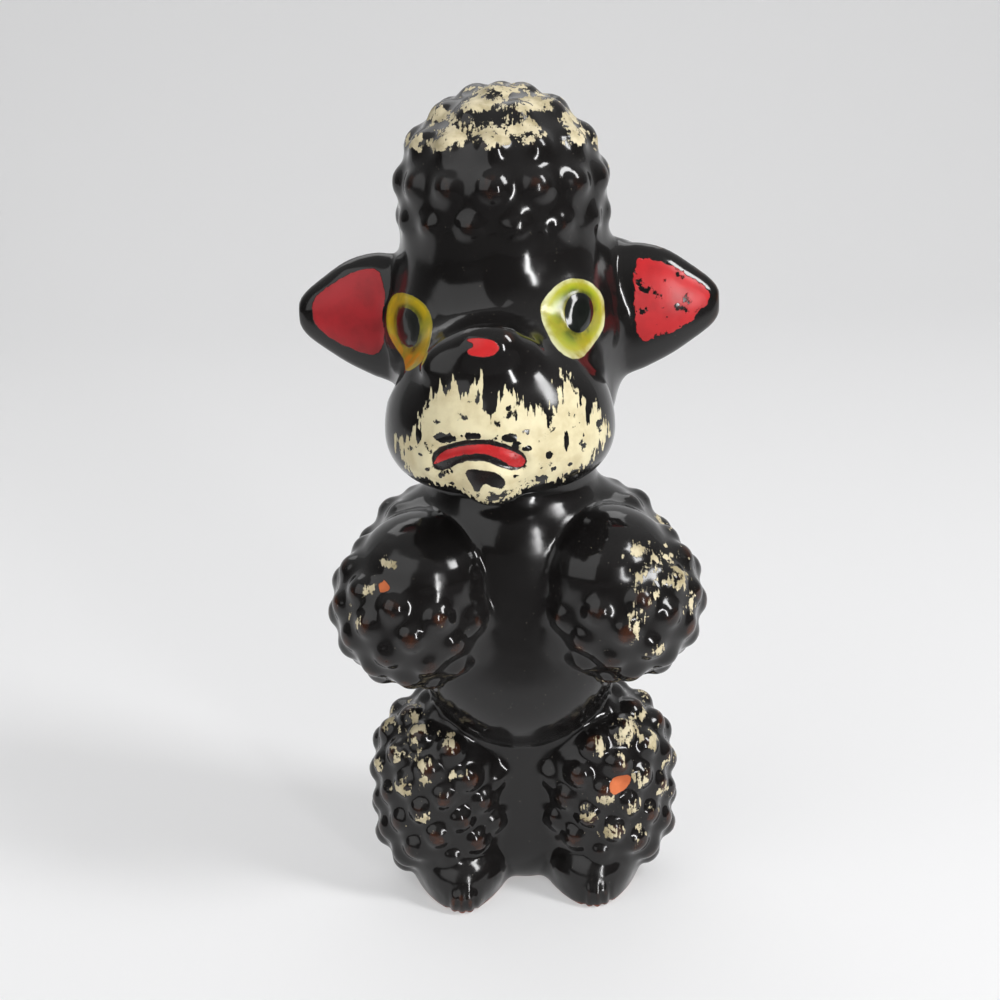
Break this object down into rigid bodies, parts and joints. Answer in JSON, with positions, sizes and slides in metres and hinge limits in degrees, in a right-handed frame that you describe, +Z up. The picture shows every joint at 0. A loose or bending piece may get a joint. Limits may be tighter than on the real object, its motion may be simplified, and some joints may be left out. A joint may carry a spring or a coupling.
{
  "type": "poodle figurine",
  "caption": "Hollow slip-cast ceramic poodle that stands on its hind legs, with popcorn curls, floppy ears and layers of cold paint on the face.",
  "frame": {"origin": "on the flat base between the hind legs, under the neck's middle", "axes": "+Z up through the topknot, -Y the way the figure faces, +X its own left"},
  "size_m": [0.0824, 0.0785, 0.1655],
  "materials": {
    "black_glaze": "glossy black glaze over red clay, thin and brown on the curl tips",
    "ear_red": "satin crimson cold paint, worn at the edges",
    "eye_ochre": "satin ochre yellow cold paint with an olive middle",
    "pupil_black": "glossy black paint",
    "mouth_red": "bright red cold paint",
    "muzzle_cream": "satin cream cold paint, brushed and flaked"
  },
  "bodies": {
    "root": {"torso": "black_glaze", "head": "black_glaze", "topknot": "black_glaze", "foreleg_left": "black_glaze", "foreleg_right": "black_glaze", "hind_leg_left": "black_glaze", "hind_leg_right": "black_glaze", "paw_left": "black_glaze", "paw_right": "black_glaze", "tail": "black_glaze", "ear_left": "black_glaze", "ear_right": "black_glaze", "ear_paint_left": "ear_red", "ear_paint_right": "ear_red", "eye_left": "eye_ochre", "eye_right": "eye_ochre", "pupil_left": "pupil_black", "pupil_right": "pupil_black", "mouth_paint": "mouth_red", "muzzle_paint": "muzzle_cream", "nose_paint": "mouth_red"}
  },
  "joints": []
}
